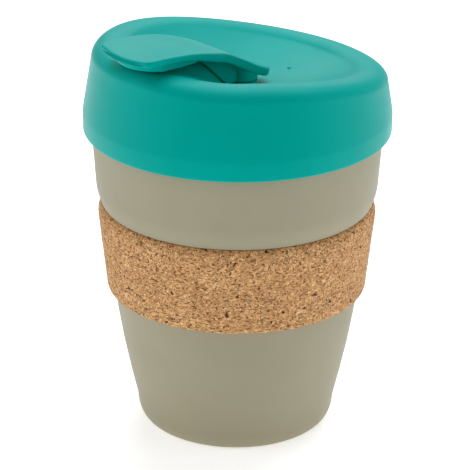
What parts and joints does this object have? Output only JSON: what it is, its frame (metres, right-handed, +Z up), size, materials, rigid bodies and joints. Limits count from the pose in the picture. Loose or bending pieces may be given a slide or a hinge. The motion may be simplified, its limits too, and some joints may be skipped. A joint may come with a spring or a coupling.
{
  "type": "travel cup",
  "caption": "Reusable takeaway coffee cup with a waisted plastic body, a cork grip band and a screw-on dished lid whose petal-shaped tab swings aside from the drinking hole.",
  "frame": {"origin": "centre of the base on the resting plane, on the cup's axis", "axes": "+Z up along the cup's axis; -Y towards the drinking side of the lid"},
  "size_m": [0.093, 0.093, 0.1275],
  "materials": {
    "body_plastic": "matte greige",
    "cork": "natural pressed cork, unsealed",
    "lid_plastic": "satin teal",
    "silicone": "soft teal silicone"
  },
  "bodies": {
    "cup": {"cup_body": "body_plastic", "cork_band": "cork"},
    "seal": {"lid_seal": "silicone"},
    "lid": {"lid_shell": "lid_plastic", "pivot_washer": "silicone"},
    "tab": {"drink_tab": "lid_plastic", "drink_pad": "silicone", "pivot_pin": "lid_plastic"}
  },
  "joints": [
    {"name": "lid_lift", "type": "slide", "parent": "cup", "child": "seal", "axis": [0, 0, 1], "range_m": [0, 0.0141]},
    {"name": "lid_turn", "type": "hinge", "parent": "seal", "child": "lid", "pos_m": [0, 0, 0.101], "axis": [0, 0, 1], "range_deg": [0, 504]},
    {"name": "tab_swing", "type": "hinge", "parent": "lid", "child": "tab", "pos_m": [0, 0.002, 0.109], "axis": [0, 0, 1], "range_deg": [-110, 110]}
  ],
  "couplings": [
    {"joint": "lid_lift", "follows": "lid_turn", "m_per_rad": 0.0015915}
  ]
}
